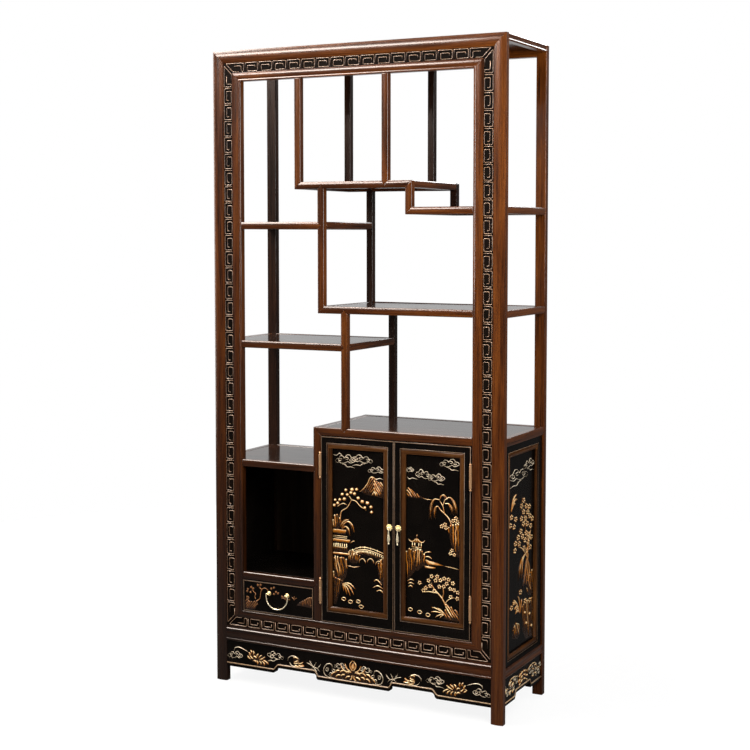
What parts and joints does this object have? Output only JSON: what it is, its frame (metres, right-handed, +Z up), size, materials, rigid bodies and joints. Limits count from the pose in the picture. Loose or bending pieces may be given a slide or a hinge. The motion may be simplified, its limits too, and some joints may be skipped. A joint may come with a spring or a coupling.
{
  "type": "chinese display and book cabinet",
  "caption": "Tall rosewood display cabinet with stepped open shelves, a cubby over a drawer, and a cupboard with lacquered doors, framed by a meander fret.",
  "frame": {"origin": "on the floor, under the middle of the whole outline with its hardware", "axes": "+Z up, the doors and the drawer face -Y, +X to the right of someone who faces the front"},
  "size_m": [0.99, 0.3556, 2],
  "materials": {
    "rosewood": "dark red-brown rosewood, oiled to a soft gloss",
    "polished_panel": "rosewood panel polished to a high gloss",
    "black_lacquer": "black lacquer with gold painted relief",
    "gilt_bead": "rubbed brown bead with a gilt wash",
    "fret_lacquer": "raised tan line of the fret",
    "brass": "pale polished brass",
    "plain_wood": "plain light hardwood"
  },
  "bodies": {
    "cabinet": {"back_legs": "rosewood", "back_panels": "black_lacquer", "base_floor": "black_lacquer", "base_rails": "rosewood", "bottom_face_rail": "rosewood", "centre_posts": "rosewood", "cubby_floor": "black_lacquer", "cubby_roof_panel": "polished_panel", "cubby_roof_rails": "rosewood", "cupboard_posts": "rosewood", "cupboard_roof_panel": "polished_panel", "cupboard_roof_rails": "rosewood", "drawer_rail": "rosewood", "drawer_runners": "plain_wood", "fret_border": "fret_lacquer", "front_apron": "black_lacquer", "high_left_posts": "rosewood", "high_posts": "rosewood", "high_shelf_panel": "polished_panel", "high_shelf_rails": "rosewood", "hinge_frame_leaves": "brass", "hinge_pins": "brass", "left_front_stile": "rosewood", "left_shelf_panel": "polished_panel", "left_shelf_rails": "rosewood", "left_side_frame": "black_lacquer", "left_side_panel": "black_lacquer", "low_posts": "rosewood", "low_shelf_panel": "polished_panel", "low_shelf_rails": "rosewood", "middle_shelf_panel": "polished_panel", "middle_shelf_rails": "rosewood", "partition_panel": "black_lacquer", "right_front_stile": "rosewood", "right_side_frame": "black_lacquer", "right_side_panel": "black_lacquer", "side_aprons": "black_lacquer", "side_panel_beads": "gilt_bead", "step_posts": "rosewood", "step_shelf_panel": "polished_panel", "step_shelf_rails": "rosewood", "top_face_rail": "rosewood", "top_panel": "polished_panel", "top_rails": "rosewood"},
    "left_door": {"left_door_frame": "black_lacquer", "left_door_bead": "gilt_bead", "left_door_panel": "black_lacquer", "left_hinge_leaves": "brass", "left_pull_rosette": "brass"},
    "right_door": {"right_door_frame": "black_lacquer", "right_door_bead": "gilt_bead", "right_door_panel": "black_lacquer", "right_hinge_leaves": "brass", "right_pull_rosette": "brass"},
    "left_pull": {"left_pull_drop": "brass"},
    "right_pull": {"right_pull_drop": "brass"},
    "drawer": {"drawer_front": "black_lacquer", "drawer_box": "plain_wood", "bail_posts": "brass"},
    "bail": {"drawer_bail": "brass"}
  },
  "joints": [
    {"name": "left_door_hinge", "type": "hinge", "parent": "cabinet", "child": "left_door", "pos_m": [-0.1092, -0.17152, 0.723], "axis": [0, 0, -1], "range_deg": [0, 95]},
    {"name": "right_door_hinge", "type": "hinge", "parent": "cabinet", "child": "right_door", "pos_m": [0.3927, -0.17152, 0.723], "axis": [0, 0, 1], "range_deg": [0, 165]},
    {"name": "drawer_slide", "type": "slide", "parent": "cabinet", "child": "drawer", "axis": [0, -1, 0], "range_m": [0, 0.21]},
    {"name": "drawer_bail_swing", "type": "hinge", "parent": "drawer", "child": "bail", "pos_m": [-0.265, -0.17362, 0.301], "axis": [-1, 0, 0], "range_deg": [0, 90]},
    {"name": "left_pull_swing", "type": "hinge", "parent": "left_door", "child": "left_pull", "pos_m": [0.12695, -0.17362, 0.55056], "axis": [-1, 0, 0], "range_deg": [0, 85]},
    {"name": "right_pull_swing", "type": "hinge", "parent": "right_door", "child": "right_pull", "pos_m": [0.15655, -0.17362, 0.55056], "axis": [-1, 0, 0], "range_deg": [0, 85]}
  ]
}
